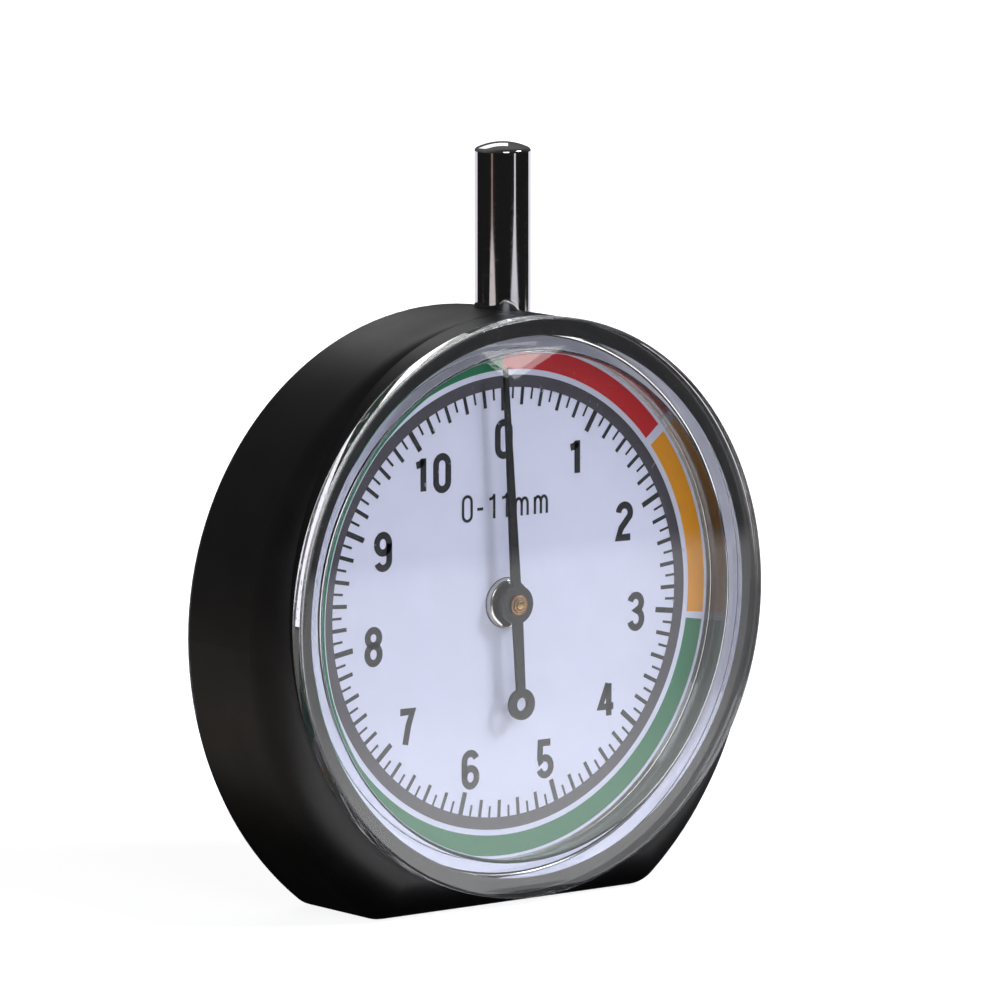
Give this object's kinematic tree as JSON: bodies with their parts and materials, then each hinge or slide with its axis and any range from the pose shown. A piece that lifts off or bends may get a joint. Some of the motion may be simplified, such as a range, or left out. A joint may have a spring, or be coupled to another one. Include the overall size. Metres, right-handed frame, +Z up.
{
  "type": "tire tread gauge",
  "caption": "Pocket dial gauge with a flat base: a pressed plunger pushes a thin probe out of the base into a tyre groove and turns the pointer to show its depth.",
  "frame": {"origin": "centre of the flat base, in the middle of the case's depth", "axes": "+Z up along the plunger, the dial faces -Y, +X to the right of the dial"},
  "size_m": [0.045, 0.0122, 0.0548],
  "materials": {
    "case_black": "satin black moulded case",
    "cover_black": "satin black moulded cover",
    "crystal_clear": "clear acrylic, polished",
    "dial_white": "white printed dial, satin",
    "bush_chrome": "bright plated",
    "plunger_chrome": "bright plated",
    "steel": "ground steel",
    "screw_steel": "plated steel screws",
    "spring_steel": "spring wire",
    "brass": "turned brass",
    "pointer_black": "black painted sheet, satin"
  },
  "bodies": {
    "case": {"case_body": "case_black", "back_cover": "cover_black", "back_cover_screws": "screw_steel", "crystal": "crystal_clear", "dial_plate": "dial_white", "dial_feet": "brass", "upper_guide_bush": "brass", "lower_guide_bush": "brass", "bridge_plate": "brass", "bridge_pillars": "brass", "bridge_screws": "screw_steel", "front_bush": "bush_chrome", "rear_bush": "brass"},
    "plunger": {"plunger_rod": "plunger_chrome", "rack_bar": "steel", "cross_pin": "steel", "probe_pin": "steel", "spring_washer": "steel", "return_spring": "spring_steel"},
    "pointer_arbor": {"arbor": "brass", "pinion": "brass", "pointer": "pointer_black", "pointer_bush": "brass"}
  },
  "joints": [
    {"name": "plunger_slide", "type": "slide", "parent": "case", "child": "plunger", "axis": [0, 0, -1], "range_m": [0, 0.011], "stiffness_N_per_m": 60, "springref_m": -0.02, "deforming": ["return_spring"]},
    {"name": "pointer_turn", "type": "hinge", "parent": "case", "child": "pointer_arbor", "pos_m": [0, 0, 0.0219], "axis": [0, 1, 0], "range_deg": [0, 361]}
  ],
  "couplings": [
    {"joint": "pointer_turn", "follows": "plunger_slide", "rad_per_m": 571.43}
  ]
}
